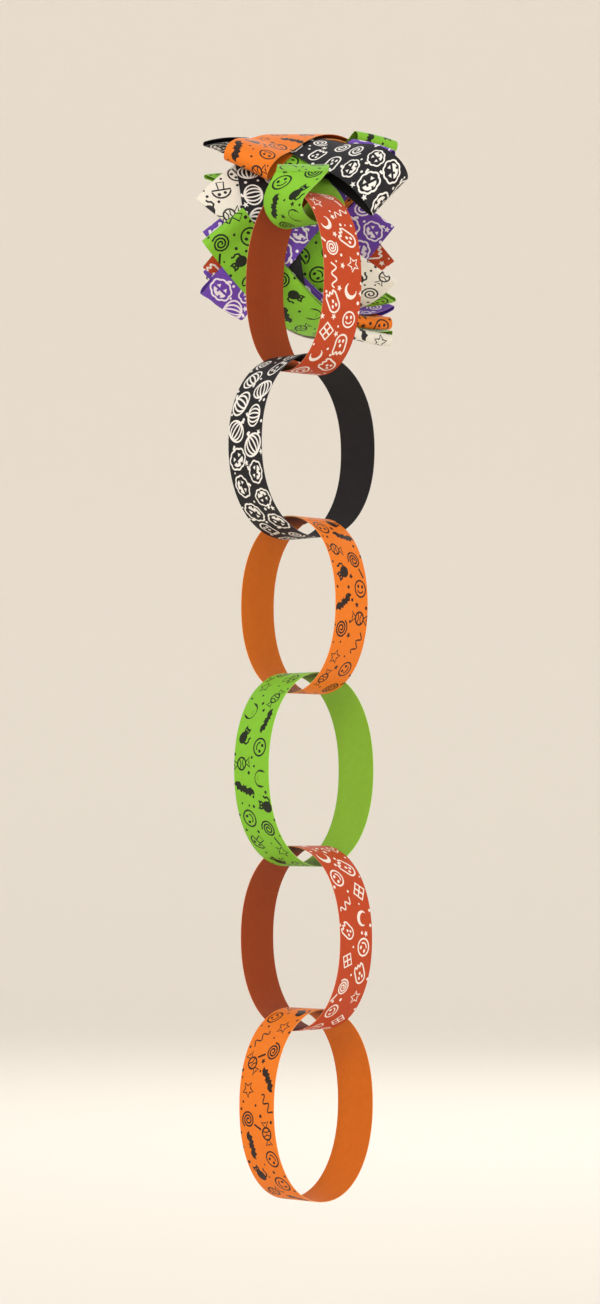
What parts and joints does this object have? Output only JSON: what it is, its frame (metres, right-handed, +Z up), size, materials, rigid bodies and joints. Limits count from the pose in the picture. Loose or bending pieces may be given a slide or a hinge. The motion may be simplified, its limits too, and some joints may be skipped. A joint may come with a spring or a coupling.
{
  "type": "paper chain garland",
  "caption": "Paper chain of printed strips, each glued into a loop through the last: some loops hang open in a row, and the rest are wound flat into a roll.",
  "frame": {"origin": "middle of the axis of the roll's open core, where a rod, peg or reel holds the chain up", "axes": "+X along the roll's axis, +Z up, -Y towards the side that the open loops hang on"},
  "size_m": [0.1059, 0.1643, 0.5387],
  "materials": {
    "paper_rust": "matte",
    "paper_black": "matte",
    "paper_orange": "matte",
    "paper_green": "matte",
    "paper_purple": "matte",
    "paper_cream": "matte"
  },
  "bodies": {
    "root": {"link_01_orange": "paper_orange", "link_02_rust": "paper_rust", "link_03_green": "paper_green", "link_04_orange": "paper_orange", "link_05_black": "paper_black", "link_06_rust": "paper_rust", "link_07_green": "paper_green", "link_08_black": "paper_black", "link_09_orange": "paper_orange", "link_10_green": "paper_green", "link_11_cream": "paper_cream", "link_12_green": "paper_green", "link_13_purple": "paper_purple", "link_14_black": "paper_black", "link_15_cream": "paper_cream", "link_16_rust": "paper_rust", "link_17_orange": "paper_orange", "link_18_purple": "paper_purple", "link_19_rust": "paper_rust", "link_20_black": "paper_black", "link_21_cream": "paper_cream", "link_22_green": "paper_green", "link_23_rust": "paper_rust", "link_24_purple": "paper_purple", "link_25_orange": "paper_orange"}
  },
  "joints": []
}
